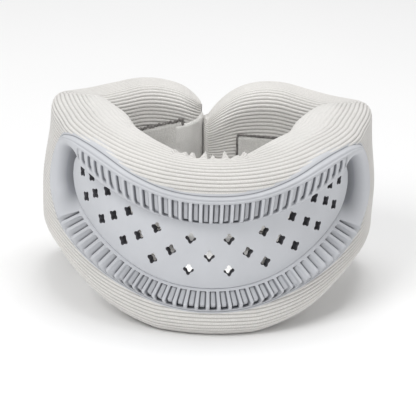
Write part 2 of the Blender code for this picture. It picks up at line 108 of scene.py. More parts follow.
# Half outlines of the front shell, as (s, z) in mm from the top centre round to the bottom centre.
RIM_HALF = [(0, 78), (21, 79.3), (42, 84), (63, 90), (80, 93), (93, 93), (106, 88.5), (115.5, 77.5),
            (117, 62), (106, 46.5), (88, 37.5), (65, 29), (43, 22.2), (21, 16.7), (0, 15)]
PANEL_HALF = [(0, 61), (20, 62), (39, 65.5), (58, 71), (76, 77), (89, 80.5), (98, 79), (101.5, 71.5),
              (98, 62.5), (90, 54.5), (76, 46.5), (57, 37.5), (38, 30.3), (19, 26.2), (0, 25)]
TURNS = len(RIM_HALF) * 2 - 2
# Outline point numbers where the bars stop.
UPPER_END = 4.25
LOWER_END = 9.25

# Sections of the shell's wall, as (share of the way from rim to panel, depth in mm).
UPPER_WALL = [(-0.17, -2.4), (-0.14, -0.8), (-0.08, 0.0), (-0.03, -0.1), (0, -0.4), (0.03, 0.6),
              (0.07, 1.3), (0.105, 1.0), (0.13, 1.4), (0.17, 1.5), (0.21, 0.9), (0.24, 0.7),
              (0.76, 1.0), (0.88, -1.6), (1.0, -6.6)]
END_WALL = [(-0.17, -2.4), (-0.14, -0.9), (-0.08, 0.0), (-0.03, -0.1), (0, -0.4), (0.05, 0.7),
            (0.11, 1.4), (0.17, 1.6), (0.21, 1.6), (0.3, 1.1), (0.42, 0.0), (0.6, -4.6),
            (0.8, -7.6), (0.92, -8.2), (1.0, -8.4)]
LOWER_WALL = [(-0.17, -2.4), (-0.14, -0.8), (-0.08, 0.0), (-0.03, -0.1), (0, -0.4), (0.05, 0.4),
              (0.10, 0.9), (0.14, 0.6), (0.19, 0.9), (0.36, 2.5), (0.44, 2.4), (0.88, -4.6),
              (0.95, -5.6), (1.0, -6.6)]

# Heights along the collar, as (s, z) in mm.
CREST = [(0, 92), (50, 94), (85, 97.5), (110, 99), (150, 98.5), (165, 96), (180, 94), (195, 93.2),
         (210, 94.5), (225, 96.5), (240, 95.3), (252, 91), (262, 83), (268, 76)]
HEM = [(0, 0), (26, 0), (43, 3.3), (61, 8), (84, 15.5), (110, 22.5), (130, 23.5), (150, 20), (165, 14),
       (185, 7), (212, 0.8), (220, 0), (234, 0), (246, 3), (258, 11), (270, 24)]
# How far the jaw shelf at the crest reaches in past the rest of the pad, as (s, reach) in mm.
JAW_SHELF = [(0, 3), (10, 3), (20, 4.5), (30, 8), (40, 11.5), (60, 15), (85, 15.5), (110, 14.5), (130, 12),
             (150, 7.5), (164, 2.5), (175, 0), (268, 0)]
SHELF_LOW = 42.0 * MM
# How far the cheeks lean in at the crest.
SIDE_LEAN = 3.6 * MM


def plan_table():
    """Arc lengths and points of the right half of the plan curve, front centre to rear centre."""
    quarter = np.linspace(0.0, math.pi / 2, 1500)
    front = np.stack([HALF_WIDTH * np.sin(quarter), -FRONT_REACH * np.cos(quarter)], 1)
    power = 2.0 / REAR_SQUARENESS
    rear = np.stack([HALF_WIDTH * np.cos(quarter) ** power, REAR_REACH * np.sin(quarter) ** power], 1)
    points = np.concatenate([front, rear[1:]])
    steps = np.linalg.norm(np.diff(points, axis=0), axis=1)
    return np.concatenate([[0.0], np.cumsum(steps)]), points


PLAN_S, PLAN_POINTS = plan_table()
REAR_S = float(PLAN_S[-1])


def plan_xy(s):
    """Points on the plan curve; past the rear centre the curve goes on round the other side."""
    turn = (s + REAR_S) % (2 * REAR_S) - REAR_S
    x = np.sign(turn) * np.interp(np.abs(turn), PLAN_S, PLAN_POINTS[:, 0])
    y = np.interp(np.abs(turn), PLAN_S, PLAN_POINTS[:, 1])
    return np.stack([x, y], -1)


def place(s, z, d):
    """World points at plan length s, height z and outward distance d; arrays of one shape."""
    s, z, d = np.broadcast_arrays(np.asarray(s, float), z, d)
    reach = 1.5 * MM
    along = plan_xy(s + reach) - plan_xy(s - reach)
    along /= np.linalg.norm(along, axis=-1, keepdims=True)
    side = smooth_step(80 * MM, 120 * MM, np.abs(s)) * (1 - smooth_step(150 * MM, 178 * MM, np.abs(s)))
    d = d - SIDE_LEAN * side * smooth_step(52 * MM, 98 * MM, z)
    flat = plan_xy(s) + np.stack([along[..., 1], -along[..., 0]], -1) * d[..., None]
    return np.stack([flat[..., 0], flat[..., 1] + SEAM_Y, z], -1)


def height(table, s):
    """Smooth heights in metres at plan lengths s from a table of points in mm."""
    where = np.array([row[0] for row in table], float)
    value = np.array([row[1] for row in table], float)
    slope = np.gradient(value, where)
    slope[0] = 0.0
    here = np.minimum(np.abs(s) / MM, where[-1])
    i = np.clip(np.searchsorted(where, here, side="right") - 1, 0, len(where) - 2)
    span = where[i + 1] - where[i]
    t = (here - where[i]) / span
    start = (1 + 2 * t) * (1 - t) ** 2 * value[i] + t * (1 - t) ** 2 * span * slope[i]
    end = t * t * (3 - 2 * t) * value[i + 1] + t * t * (t - 1) * span * slope[i + 1]
    return np.maximum(start + end, 0.0) * MM


def smooth_step(low, high, x):
    t = np.clip((x - low) / (high - low), 0.0, 1.0)
    return t * t * (3 - 2 * t)


def waves(seed, s, q, scale):
    """Gentle irregular field between about -1 and 1, the same on every run."""
    pick = np.random.RandomState(seed)
    total = np.zeros(np.broadcast(s, q).shape)
    for _ in range(5):
        across, up, phase = pick.uniform(0.4, 1.6), pick.randint(1, 5), pick.uniform(0, 6.3)
        total = total + np.sin(s / scale * across * 2 * math.pi + up * q * 2 * math.pi + phase)
    return total / 3.0


# ---------------------------------------------------------------- meshes

def mesh_object(name, points, faces, look, uvs=None, groove=None):
    """Named smooth-shaded mesh; uvs and groove are given per point, groove being painted shade on the shell
    and the fading of the painted rib shade on the knit.
    """
    mesh = bpy.data.meshes.new(name)
    mesh.from_pydata(points.reshape(-1, 3).tolist(), [], [tuple(face) for face in faces])
    mesh.validate()
    mesh.polygons.foreach_set("use_smooth", [True] * len(mesh.polygons))
    if uvs is not None:
        layer = mesh.uv_layers.new(name="UVMap")
        loops = np.zeros(len(mesh.loops), int)
        mesh.loops.foreach_get("vertex_index", loops)
        layer.data.foreach_set("uv", uvs.reshape(-1, 2)[loops].astype(np.float32).ravel())
    if groove is not None:
        attribute = mesh.attributes.new("groove", "FLOAT", "POINT")
        attribute.data.foreach_set("value", groove.astype(np.float32).ravel())
    mesh.update()
    made = bpy.data.objects.new(name, mesh)
    bpy.context.scene.collection.objects.link(made)
    made.data.materials.append(look)
    return made


def grid_faces(rows, columns, wrap_rows=False, wrap_columns=False, flip=False):
    """Quads of a grid of points, as an array of four indices each."""
    row_ids = np.arange(rows if wrap_rows else rows - 1)
    column_ids = np.arange(columns if wrap_columns else columns - 1)
    r, c = np.meshgrid(row_ids, column_ids, indexing="ij")
    r_next, c_next = (r + 1) % rows, (c + 1) % columns
    corners = [r * columns + c, r * columns + c_next, r_next * columns + c_next, r_next * columns + c]
    if flip:
        corners.reverse()
    return np.stack(corners, -1).reshape(-1, 4)


def grid_normals(points):
    """Unit normals of a grid of points, from its neighbours."""
    across = np.gradient(points, axis=0)
    along = np.gradient(points, axis=1)
    normal = np.cross(along, across)
    return normal / np.maximum(np.linalg.norm(normal, axis=-1, keepdims=True), 1e-12)


# ---------------------------------------------------------------- shell outlines

def closed_outline(half, steps=8):
    """Closed smooth (s, z) outline in metres: clockwise from the top centre, right side first."""
    left = [(-s, z) for s, z in reversed(half[1:-1])]
    points = np.array(half + left, float) * MM
    count = len(points)
    t = (np.arange(steps) / steps)[:, None]
    outline = []
    for i in range(count):
        before, start, end, after = (points[(i + k) % count] for k in (-1, 0, 1, 2))
        outline.append(0.5 * (2 * start + (end - before) * t
                              + (2 * before - 5 * start + 4 * end - after) * t ** 2
                              + (3 * start - before - 3 * end + after) * t ** 3))
    return np.concatenate(outline)


RIM = closed_outline(RIM_HALF)
PANEL = closed_outline(PANEL_HALF)


def outline_at(outline, turn):
    """Points of an outline at fractional control point numbers."""
    where = (np.asarray(turn, float) % TURNS) * len(outline) / TURNS
    i = where.astype(int)
    t = (where - i)[..., None]
    return outline[i % len(outline)] * (1 - t) + outline[(i + 1) % len(outline)] * t


def edge_distance(outline, s, z):
    """Distances to an outline, negative inside it."""
    start = outline
    far = np.roll(outline, -1, axis=0)
    run = far - start
    best = np.full(s.shape, 1.0)
    inside = np.zeros(s.shape, bool)
    for (s0, z0), (ds, dz), z1 in zip(start, run, far[:, 1]):
        t = np.clip(((s - s0) * ds + (z - z0) * dz) / (ds * ds + dz * dz), 0, 1)
        best = np.minimum(best, np.hypot(s - s0 - t * ds, z - z0 - t * dz))
        if z0 != z1:
            inside ^= ((z0 > z) != (z1 > z)) & (s < s0 + (z - z0) / (z1 - z0) * ds)
    return np.where(inside, -best, best)


# ---------------------------------------------------------------- knit covers

def section_curve(low, high, radii, q):
    """Rounded pad section at fractions q of its girth, from the middle of the outer face upward."""
    top_out, top_in, low_in, low_out = radii
    back = -PAD_THICKNESS
    quarter = np.linspace(0, math.pi / 2, 24)[:, None]
    turn = np.hstack([np.cos(quarter), np.sin(quarter)])
    side = np.hstack([-np.sin(quarter), np.cos(quarter)])
    middle = (low + high) / 2
    outline = np.vstack([
        [[0.0, middle]],
        np.array([-top_out, high - top_out]) + top_out * turn,
        np.array([back + top_in, high - top_in]) + top_in * side,
        np.array([back + low_in, low + low_in]) - low_in * turn,
        np.array([-low_out, low + low_out]) - low_out * side,
        [[0.0, middle]]])
    steps = np.concatenate([[0.0], np.cumsum(np.linalg.norm(np.diff(outline, axis=0), axis=1))])
    at = q * steps[-1]
    return np.interp(at, steps, outline[:, 0]), np.interp(at, steps, outline[:, 1])


def soften(row, width):
    """Average a closed row with its neighbours, so a pad's corners swell softly."""
    total = row.copy()
    for k in range(1, width + 1):
        total = total + np.roll(row, k) + np.roll(row, -k)
    return total / (2 * width + 1)


def shoulder_radius(s):
    """Radius of the pad's outer top edge: full at the front, tighter toward the cheeks."""
    return (14 - 8 * np.clip(np.abs(s) / (102 * MM), 0, 1) ** 2) * MM


def pad_grid(s_values, q):
    """Section places d and z for every s (rows) and girth fraction q (columns)."""
    low, high = height(HEM, s_values), height(CREST, s_values)
    share = np.clip(np.abs(s_values) / (102 * MM), 0, 1) ** 2
    shoulder = shoulder_radius(s_values)
    d = np.zeros((len(s_values), len(q)))
    z = np.zeros_like(d)
    for i in range(len(s_values)):
        radii = (shoulder[i], 10 * MM, 10 * MM, (9 + 3 * share[i]) * MM)
        row_d, row_z = section_curve(low[i], high[i], radii, q)
        d[i], z[i] = soften(row_d, 6), soften(row_z, 6)
    reach = height(JAW_SHELF, s_values)[:, None] / PAD_THICKNESS
    share = np.clip((z - SHELF_LOW) / (high[:, None] - SHELF_LOW), 0.0, 1.0)
    return d * (1 + reach * share), z


def rib_profile(q):
    """Height of the ribs across the girth: rounded tops and narrow valleys."""
    across = (q * RIB_COUNT) % 1.0 * 2 - 1
    return 1 - np.abs(across) ** 2.4


def knit_cover(name, s_values, look, nose_side=0, keep=None, dents=None):
    """Ribbed knit skin over a stretch of the collar. keep(s, z, d) says which points stay."""
    q = np.arange(RIB_COUNT * POINTS_PER_RIB) / (RIB_COUNT * POINTS_PER_RIB)
    stations = np.array(s_values, float)
    squeeze = np.ones(len(stations))
    if nose_side:
        tip = REAR_S + nose_side * GAP_SIDE_SHIFT - 0.5 * MM
        start = tip - NOSE_LENGTH
        body = stations[np.abs(stations) < start]
        angles = np.radians(np.linspace(4, 89, 20))
        stations = np.concatenate([body, nose_side * (start + NOSE_LENGTH * np.sin(angles))])
        squeeze = np.concatenate([np.ones(len(body)), np.cos(angles)])
    d, z = pad_grid(stations, q)
    d = -PAD_THICKNESS / 2 + (d + PAD_THICKNESS / 2) * squeeze[:, None]
    s = np.repeat(stations[:, None], len(q), 1)
    if dents is not None:
        d = d + dents(s, z, d)
    base = place(s, z, d)
    normal = grid_normals(np.concatenate([base[:, -1:], base, base[:, :1]], 1))[:, 1:-1]
    outward = place(s, z, d + 1 * MM) - base
    if np.sum(normal * outward * (d > -3 * MM)[..., None]) < 0:
        normal = -normal
    swell = 0.45 * MM * waves(7, s, q, 90 * MM)
    fade = np.clip(squeeze * 1.6, 0.25, 1.0)[:, None]
    faint = stretched_area(s, d)
    lift = RIB_HEIGHT * (rib_profile(q) - 0.5) * fade * (1 - 1.6 * faint) + swell
    lift = lift + gathers(s, z, d)
    points = base + normal * lift[..., None]
    points[..., 2] = np.maximum(points[..., 2], 0.0)
    uvs = np.stack([s / MM / 10.0, np.broadcast_to(q * RIB_COUNT, s.shape)], -1)
    # Close the seam of the texture: the last column meets the first one rib later.
    points = np.concatenate([points, points[:, :1]], 1)
    uvs = np.concatenate([uvs, uvs[:, :1] + np.array([0, RIB_COUNT])], 1)
    faint = np.concatenate([faint, faint[:, :1]], 1)
    rows, columns = points.shape[:2]
    faces = grid_faces(rows, columns, flip=stations[-1] < stations[0])
    if keep is not None:
        stays = keep(s, z, d)
        stays = np.concatenate([stays, stays[:, :1]], 1).ravel()
        faces = faces[stays[faces].any(axis=1)]
    return mesh_object(name, points, faces, look, uvs, faint)


def stretched_area(s, d):
    """Share by which the ribs are pulled flat, on top of the wide jaw shelf at each side."""
    along = smooth_step(38 * MM, 75 * MM, np.abs(s)) * (1 - smooth_step(150 * MM, 180 * MM, np.abs(s)))
    across = smooth_step(-16 * MM, -24 * MM, d) * (1 - smooth_step(-40 * MM, -43 * MM, d))
    return 0.45 * along * across


def gathers(s, z, d):
    """Small puckers along the inner edge of the crest at the front, where the cover is gathered."""
    reach = np.exp(-(s / (27 * MM)) ** 4)
    from_top = height(CREST, s) - z
    near_edge = np.exp(-((d + 24 * MM) / (5 * MM)) ** 2) * np.exp(-(from_top / (6 * MM)) ** 2)
    ripple = (np.sin(s / MM * 0.82 + 0.6) + 0.7 * np.sin(s / MM * 1.31 + 2.0)
              + 0.5 * np.sin(s / MM * 0.47 + 4.0))
    return 1.9 * MM * reach * near_edge * np.maximum(ripple, -0.7)


def under_shell(s, z, d):
    """How far the cover is pressed in below and beside the shell's rim."""
    gap = edge_distance(RIM, s, z)
    pressed = np.where(gap > 0, -1.3 * MM * np.exp(-gap / (1.6 * MM)), -1.3 * MM + gap * 0.9)
    return np.where(d > -9 * MM, np.maximum(pressed, -8 * MM), 0.0)


def outside_shell(s, z, d):
    """Points of the front cover that show: not far below the shell, and not across the window."""
    outer = d > -10 * MM
    shown_outside = edge_distance(RIM, s, z) > -3.0 * MM
    shown_inside = edge_distance(PANEL, s, z) > 1.0 * MM
    return np.where(outer, shown_outside, shown_inside)


def window_binding(look):
    """Sewn edge inside the front pad, round the open window behind the perforated panel."""
    turns = np.linspace(0, TURNS, 240, endpoint=False)
    edge = outline_at(PANEL, turns)
    along = np.roll(edge, -1, 0) - np.roll(edge, 1, 0)
    along /= np.linalg.norm(along, axis=1, keepdims=True)
    out = np.stack([-along[:, 1], along[:, 0]], 1)
    back = -PAD_THICKNESS
    profile = [(5.0, back + 0.6 * MM), (4.2, back - 0.7 * MM), (2.6, back - 0.9 * MM),
               (1.0, back - 0.1 * MM), (0.2, back + 2 * MM), (0.0, back + 6 * MM), (0.4, back + 15 * MM)]
    points = []
    for offset, d in profile:
        where = edge + out * offset * MM
        points.append(place(where[:, 0], where[:, 1], np.full(len(where), d)))
    points = np.stack(points, 0)
    faces = grid_faces(len(profile), len(turns), wrap_columns=True)
    uvs = np.stack(np.broadcast_arrays(turns[None, :] * 4, np.arange(len(profile))[:, None] * 0.4), -1)
    return mesh_object("window_binding", points, faces, look, uvs)


# ---------------------------------------------------------------- front shell

def even_turns(start, end, count):
    """Turn numbers that split the middle of the wall into equal lengths."""
    turns = np.linspace(start, end, 600)
    middle = (outline_at(RIM, turns) + outline_at(PANEL, turns)) / 2
    lengths = np.concatenate([[0.0], np.cumsum(np.linalg.norm(np.diff(middle, axis=0), axis=1))])
    return np.interp(np.linspace(0.0, lengths[-1], count), lengths, turns)


def bar_field(turns, w):
    """Pocket depth share (0 on a bar), weight of the small groove along the pocket edges, which also carries
    painted shade, and distance from the middle (0 to 1).
    """
    turns, w = np.broadcast_arrays(turns[:, None], w[None, :])
    pocket = np.zeros(turns.shape)
    edge = np.zeros(turns.shape)
    away = np.zeros(turns.shape)
    for start, end, bars, middle in ((-UPPER_END, UPPER_END, UPPER_BARS, 0.0),
                                     (LOWER_END, TURNS - LOWER_END, LOWER_BARS, TURNS / 2)):
        lines = even_turns(start, end, bars * 2 + 2)
        here = np.where((turns > TURNS / 2) & (start < 0), turns - TURNS, turns)
        side = np.sign(here - middle)
        from_middle = np.abs(here - middle) / (end - middle)
        inside = from_middle < 1
        if start > 0:
            # The lower bars have an elbow: outside it they bend toward the middle.
            bend = (OUTER_BEND * np.clip((ELBOW - w) / ELBOW, 0, 1)
                    - INNER_BEND * np.clip((w - ELBOW) / (1 - ELBOW), 0, 1))
            here = here + side * bend * smooth_step(0.1, 0.6, from_middle)
        phase = np.interp(here, lines, np.arange(len(lines)))
        across = (phase + 0.5) % 2 - 1.0
        slant = smooth_step(0.2, 0.62, from_middle)
        # The deep side of a pocket: away from the middle above the panel, toward it below.
        deep_sign = side * (1.0 if start < 0 else -1.0)
        share = np.clip((across * deep_sign + 0.56) / 1.12, 0.0, 1.0)
        hollow = 1 - smooth_step(0.53, 0.64, np.abs(across))
        hollow = np.where((here < lines[0]) | (here > lines[-1]), 0.0, hollow)
        pocket = np.where(inside, hollow * ((1 - slant) + slant * share), pocket)
        widen = 0.02 if start < 0 else 0.10
        near = np.exp(-((np.abs(across) - 0.55) / (0.09 + widen * slant)) ** 2)
        weight = np.where(across * deep_sign > 0, 1.0, 1 - slant)
        edge = np.where(inside & (hollow + near > 0.02), near * weight, edge)
        away = np.where(inside, from_middle, away)
    return pocket, edge, away


def wall_depths(turns, w):
    """Front surface of the shell wall in mm: upper, end and lower walls blended along the outline."""
    side_turn = np.minimum(turns % TURNS, TURNS - turns % TURNS)[:, None]
    upper, end, lower = (np.interp(w, *zip(*wall)) for wall in (UPPER_WALL, END_WALL, LOWER_WALL))
    to_end = smooth_step(UPPER_END - 0.2, UPPER_END + 1.0, side_turn)
    to_lower = smooth_step(LOWER_END - 1.3, LOWER_END + 0.1, side_turn)
    return upper * (1 - to_end) + (end * (1 - to_lower) + lower * to_lower) * to_end


def crest_fall(s, z):
    """How far the pad's outer face has rounded away below its crest at a place."""
    crest = height(CREST, s)
    radius = shoulder_radius(s) + 2 * MM
    over = np.clip(z - (crest - radius), 0.0, radius * 0.93)
    return radius - np.sqrt(radius ** 2 - over ** 2)


def gutter_share(side_turn):
    """One in the middle of the smooth end gutters, where painted shade darkens them, fading where the bars
    begin.
    """
    rise = smooth_step(UPPER_END + 0.3, UPPER_END + 1.6, side_turn)
    return rise * (1 - smooth_step(LOWER_END - 1.6, LOWER_END + 0.1, side_turn))


def shell_frame(look):
    """Lip, bars, pockets and end gutters of the shell, as one closed moulding, with painted shade in its
    grooves, pockets, creases and gutters.
    """
    lines = [even_turns(-UPPER_END, UPPER_END, UPPER_BARS * 20),
             np.linspace(UPPER_END, LOWER_END, 80)[1:-1],
             even_turns(LOWER_END, TURNS - LOWER_END, LOWER_BARS * 20),
             np.linspace(TURNS - LOWER_END, TURNS - UPPER_END, 80)[1:-1]]
    turns = np.concatenate(lines) % TURNS
    w = np.unique(np.round(np.concatenate([np.linspace(-0.17, 0.27, 23), np.linspace(0.27, 0.84, 11),
                                           np.linspace(0.84, 1.0, 9)]), 4))
    hollow, edge, away = bar_field(turns, w)
    depth = wall_depths(turns, w[None, :])
    side_turn = np.minimum(turns, TURNS - turns)[:, None]
    is_upper = side_turn < (UPPER_END + LOWER_END) / 2
    in_bars = (side_turn < UPPER_END) | (side_turn > LOWER_END)
    # Pockets get shorter toward the ends of the upper row.
    upper_far = 0.94 - 0.40 * away ** 0.9
    upper_zone = smooth_step(0.235, 0.26, w) * (1 - smooth_step(upper_far - 0.03, upper_far, w))
    lower_zone = smooth_step(0.13, 0.16, w) * (1 - smooth_step(0.89, 0.92, w))
    zone = np.where(is_upper, upper_zone, lower_zone)
    end_edge = np.where(is_upper, np.exp(-((w - upper_far + 0.02) / 0.035) ** 2),
                        np.exp(-((w - 0.165) / 0.03) ** 2))
    # Small grooves along the pocket edges and ends: cut in below, and darkened as painted shade through the
    # groove attribute.
    groove = np.clip(edge * zone + np.clip(hollow, 0, 1) * end_edge, 0, 1)
    groove = np.where(in_bars, groove, 0.0)
    # The upper pockets get shallower toward the sides, and the lower ones deeper.
    aside = smooth_step(0.2, 0.62, away)
    relief = np.where(is_upper, 1.5 - 0.6 * aside, 1.7 + 1.1 * aside)
    # Painted shade on the pocket floors: faint in the middle of the upper row, stronger toward the sides of
    # the lower row.
    pocket_shade = np.where(is_upper, 0.07 * (1 - aside), 0.05 + 0.16 * aside) * hollow * zone
    pocket_shade = np.where(in_bars, pocket_shade, 0.0)
    depth = depth - np.where(in_bars, hollow * zone * relief + groove * 1.3, 0.0)
    rounded = zone * np.clip(1 - hollow * 4, 0, 1) * (1 - edge)
    depth = depth + np.where(in_bars, np.where(is_upper, 0.5, 0.6 + 0.4 * aside) * rounded, 0.0)
    # Painted shade in the thin creases beside the rim's flange and in the deep end gutters.
    recess_shade = 0.6 * np.exp(-((w + 0.006) / 0.012) ** 2) + 0.2 * np.exp(-((w - 0.105) / 0.012) ** 2)
    recess_shade = recess_shade[None, :] * np.ones((len(turns), 1))
    gutter_shade = 0.78 * smooth_step(0.40, 0.86, w)[None, :] * gutter_share(side_turn)
    recess_shade = np.maximum(recess_shade, gutter_shade)
    rim = outline_at(RIM, turns)
    panel = outline_at(PANEL, turns)
    where = rim[:, None, :] * (1 - w[None, :, None]) + panel[:, None, :] * w[None, :, None]
    depth = depth - crest_fall(where[..., 0], where[..., 1]) / MM * (1 - smooth_step(0.08, 0.5, w))[None, :]
    front = place(where[..., 0], where[..., 1], depth * MM)
    behind = np.linspace(w[-1], w[0], 7)
    back_depth = np.clip(wall_depths(turns, behind[None, :]) - 4.6, -11.0, -3.0)
    place_behind = rim[:, None, :] * (1 - behind[None, :, None]) + panel[:, None, :] * behind[None, :, None]
    back = place(place_behind[..., 0], place_behind[..., 1], back_depth * MM)
    points = np.concatenate([front, back], 1)
    # All the painted shade goes into the groove attribute; the hidden back gets none.
    shade = np.concatenate([np.maximum(np.clip(groove + pocket_shade, 0, 1), recess_shade), np.zeros(back_depth.shape)], 1)
    rows, columns = points.shape[:2]
    faces = grid_faces(rows, columns, wrap_rows=True, wrap_columns=True)
    uvs = np.concatenate([where, place_behind], 1) / MM / 10.0
    return mesh_object("shell_frame", points, faces, look, uvs, shade)


def hole_places():
    """Centres of the vent holes as (s, z, turn angle): three staggered rows that follow the shell."""
    places = []
    for base, climb, stretch, first in HOLE_ROWS:
        steps = np.arange(first, LAST_HOLE + 0.1, 1.0)
        for k in np.concatenate([-steps[steps > 0], steps]):
            s = math.copysign(HOLE_SPACING * abs(k) - HOLE_CROWDING * k * k, k) * stretch
            z = min(base + climb * s * s / 1000, HIGHEST_HOLE)
            places.append((s * MM, z * MM, math.atan(2 * climb * s / 1000)))
    return places


def window_edges(s):
    """Top and bottom of the panel outline at s."""
    here = np.minimum(np.abs(s), 101.3 * MM)
    half = PANEL[:len(PANEL) // 2 + 1]
    split = int(np.argmax(half[:, 0]))
    top = np.interp(here, half[:split + 1, 0], half[:split + 1, 1])
    bottom = np.interp(here, half[split:, 0][::-1], half[split:, 1][::-1])
    return top, bottom


def hole_wall_look():
    """Inside of the vent holes: the elastomer painted near black, as painted shade for walls that lie in
    shadow.
    """
    look = Look("vent_hole_wall", 0.75)
    grain = look.noise(300.0, 2.0)
    look.colour(look.ramp(grain, [(0.3, (0.085, 0.085, 0.095)), (0.7, (0.13, 0.13, 0.145))]))
    look.bump(grain, 0.00005, 0.5)
    return look.material


def hole_cutter(look):
    """All the four-lobed vent holes, as prisms that reach past both faces of the panel."""
    angles = np.linspace(0, 2 * math.pi, 40, endpoint=False)
    reach = (HOLE_RADIUS + HOLE_LOBE * np.cos(4 * angles)) * MM
    depths = (2.0, -PANEL_THICKNESS / MM - 2.0)
    points, faces = [], []
    for s, z, slant in hole_places():
        start = len(points) * len(angles)
        for depth in depths:
            points.append(place(s + reach * np.cos(angles + slant), z + reach * np.sin(angles + slant),
                                -PANEL_DEPTH + depth * MM))
        faces += (grid_faces(len(depths), len(angles), wrap_columns=True) + start).tolist()
        faces.append(list(range(start + len(angles) - 1, start - 1, -1)))
        last = start + (len(depths) - 1) * len(angles)
        faces.append(list(range(last, last + len(angles))))
    return mesh_object("vent_hole_cutter", np.concatenate(points), faces, look)


def vent_panel(look):
    """Perforated panel of the shell: a curved plate with its holes cut through."""
    stations = 101.1 * MM * np.sin(np.linspace(-math.pi / 2, math.pi / 2, 81))
    top, bottom = window_edges(stations)
    share = np.linspace(0, 1, 13)
    z = bottom[:, None] + 0.25 * MM + (top - bottom - 0.5 * MM)[:, None] * share
    s = np.repeat(stations[:, None], len(share), 1)
    front = place(s, z, -PANEL_DEPTH)
    back = place(s, z, -PANEL_DEPTH - PANEL_THICKNESS)
    points = np.concatenate([front, back[:, ::-1]], 1)
    rows, columns = points.shape[:2]
    faces = grid_faces(rows, columns, wrap_columns=True).tolist()
    faces.append(list(range(columns))[::-1])
    faces.append([(rows - 1) * columns + i for i in range(columns)])
    panel = mesh_object("vent_panel_moulding", points, faces, look)
    cutter = hole_cutter(hole_wall_look())
    # The hole walls take the cutter's near black material: painted shade.
    panel.data.materials.append(cutter.data.materials[0])
    for piece in (panel, cutter):
        fix_normals(piece)
    cut = panel.modifiers.new("vent_holes", "BOOLEAN")
    cut.operation = "DIFFERENCE"
    cut.solver = "EXACT"
    cut.object = cutter
    cut.material_mode = "TRANSFER"
    apply_modifiers(panel)
    bpy.data.objects.remove(cutter)
    panel.data.set_sharp_from_angle(angle=math.radians(32))
    return panel


def fix_normals(obj):
    """Turn every face of a closed mesh outward."""
    builder = bmesh.new()
    builder.from_mesh(obj.data)
    bmesh.ops.recalc_face_normals(builder, faces=builder.faces)
    builder.to_mesh(obj.data)
    builder.free()


def apply_modifiers(obj):
    """Put the result of an object's modifiers into its mesh."""
    bpy.context.view_layer.update()
    evaluated = obj.evaluated_get(bpy.context.evaluated_depsgraph_get())
    mesh = bpy.data.meshes.new_from_object(evaluated)
    obj.modifiers.clear()
    obj.data = mesh


# ---------------------------------------------------------------- linings and strap

def path_length(s, d):
    """Length of a path round the pad at one height."""
    points = place(s, np.full(len(s), 45 * MM), d)
    return float(np.sum(np.linalg.norm(np.diff(points, axis=0), axis=1)))


def tilt(s, z, span, heights, rise):
    """Heights of a patch whose top edge climbs by rise toward the end of its span."""
    along = (s - span[0]) / (span[1] - span[0])
    up = (z - heights[0]) / (heights[1] - heights[0])
    return z + rise * np.clip(along, 0, 1) ** 2 * np.clip(up, 0, 1.1)


def sheet_piece(name, span, heights, depths, look, rise):
    """Thin fleece sheet that follows the plan curve, with rounded edges and soft waves."""
    s_line = np.linspace(span[0], span[1], max(6, int(abs(span[1] - span[0]) / (1.2 * MM))))
    z_line = np.linspace(heights[0], heights[1], max(6, int((heights[1] - heights[0]) / (1.2 * MM))))
    s, z = np.meshgrid(s_line, z_line, indexing="ij")
    back, front = depths
    edge = np.minimum.reduce([np.abs(s - s_line[0]), np.abs(s - s_line[-1]),
                              z - z_line[0], z_line[-1] - z])
    swell = 1 - np.clip(1 - edge / (1.2 * MM), 0, 1) ** 2
    middle = (back + front) / 2
    bumps = 0.35 * MM * waves(3, s, z / (60 * MM), 30 * MM)
    front_d = middle + (front - middle) * swell + bumps
    back_d = middle + (back - middle) * swell + bumps
    z = tilt(s, z, span, heights, rise)
    outer = place(s, z, front_d)
    inner = place(s, z, back_d)
    rows, columns = s.shape
    points = np.concatenate([outer.reshape(-1, 3), inner.reshape(-1, 3)])
    face = grid_faces(rows, columns)
    count = rows * columns
    faces = [face, face[:, ::-1] + count]
    ring = [(r, 0) for r in range(rows)] + [(rows - 1, c) for c in range(1, columns)]
    ring += [(r, columns - 1) for r in range(rows - 2, -1, -1)] + [(0, c) for c in range(columns - 2, 0, -1)]
    ids = np.array([r * columns + c for r, c in ring])
    nxt = np.roll(ids, -1)
    faces.append(np.stack([nxt, ids, ids + count, nxt + count], -1))
    uvs = np.stack([s, z], -1).reshape(-1, 2) / MM / 10.0
    made = mesh_object(name, points, np.concatenate(faces), look, np.concatenate([uvs, uvs]))
    fix_normals(made)
    return made


def stitched_edge(name, span, heights, depth, look, ragged, rise):
    """Narrow raised binding round a lining patch, with stitches along it."""
    near, far = sorted(span)
    low, high = heights
    corners = np.array([(near, low), (far, low), (far, high), (near, high), (near, low)])
    path = []
    for start, end in zip(corners, corners[1:]):
        count = int(np.hypot(*(end - start)) / (0.7 * MM))
        t = np.linspace(0, 1, count, endpoint=False)[:, None]
        path.append(start + (end - start) * t)
    path = np.concatenate(path)
    along = np.roll(path, -2, 0) - np.roll(path, 2, 0)
    along /= np.linalg.norm(along, axis=1, keepdims=True)
    out = np.stack([along[:, 1], -along[:, 0]], 1)
    index = np.arange(len(path))
    wobble = ragged * MM * (np.sin(index * 1.7) + np.sin(index * 0.61 + 1.0)) * 0.5
    thick = 0.55 * MM * (0.8 + 0.35 * np.abs(np.sin(index * 0.9)))
    ring = np.linspace(0, 2 * math.pi, 8, endpoint=False)
    offset = out[:, None, :] * (0.8 * MM * np.cos(ring)[None, :, None] + wobble[:, None, None])
    where = path[:, None, :] + offset
    d = depth + thick[:, None] * np.sin(ring)[None, :]
    points = place(where[..., 0], tilt(where[..., 0], where[..., 1], span, heights, rise), d)
    made = mesh_object(name, points, grid_faces(len(path), 8, wrap_rows=True, wrap_columns=True), look)
    fix_normals(made)
    return made


